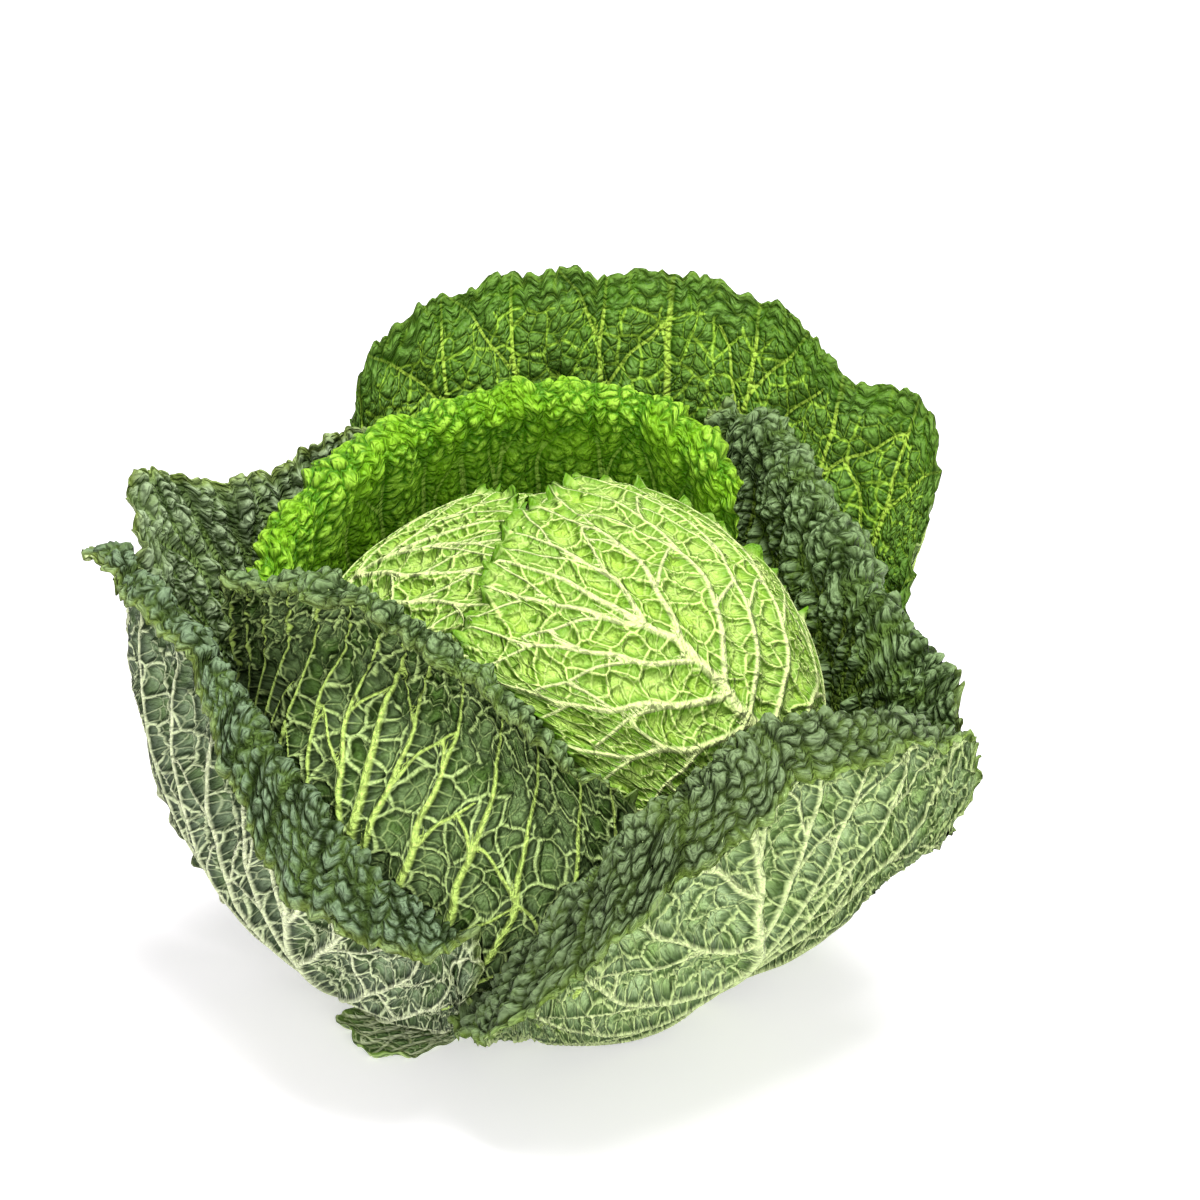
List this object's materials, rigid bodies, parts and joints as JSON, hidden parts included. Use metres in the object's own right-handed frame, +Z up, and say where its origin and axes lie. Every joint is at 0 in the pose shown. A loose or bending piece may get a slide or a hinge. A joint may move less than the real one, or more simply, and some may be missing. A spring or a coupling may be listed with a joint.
{
  "type": "savoy cabbage",
  "caption": "Whole savoy cabbage with crinkled loose leaves open around a tight pale head, resting on its cut stem.",
  "frame": {"origin": "centre of the stem's cut face, where the cabbage rests", "axes": "+Z up; -Y towards the open side where the head shows; the head leans towards -X and -Y from the stem"},
  "size_m": [0.2676, 0.2521, 0.1926],
  "materials": {
    "stem": "pale cut stem, matt and moist",
    "heart": "pale yellow-green leaf, satin",
    "head_leaf_back": "pale green veined leaf, satin",
    "head_leaf_left": "pale green veined leaf, satin",
    "head_leaf_right": "pale green veined leaf, satin",
    "wrapper_leaf": "bright green crinkled leaf, satin",
    "outer_leaf_front": "green crinkled leaf, waxy satin",
    "outer_leaf_right": "dark green crinkled leaf, waxy satin",
    "outer_leaf_back_left": "dark green crinkled leaf, waxy satin",
    "outer_leaf_back": "dark green crinkled leaf, waxy satin",
    "outer_leaf_left": "blue-green crinkled leaf, waxy bloom",
    "outer_leaf_front_right": "blue-green crinkled leaf, waxy bloom",
    "basal_leaf_left": "green crinkled leaf, waxy satin",
    "basal_leaf": "bright green leaf, satin"
  },
  "bodies": {
    "root": {"stump": "stem", "heart": "heart", "head_leaf_back": "head_leaf_back", "head_leaf_left": "head_leaf_left", "head_leaf_right": "head_leaf_right", "wrapper_leaf_back": "wrapper_leaf", "outer_leaf_front": "outer_leaf_front", "outer_leaf_right": "outer_leaf_right", "outer_leaf_back_left": "outer_leaf_back_left", "outer_leaf_back": "outer_leaf_back", "outer_leaf_left": "outer_leaf_left", "outer_leaf_front_right": "outer_leaf_front_right", "basal_leaf_left": "basal_leaf_left", "basal_leaf_right": "basal_leaf"}
  },
  "joints": []
}
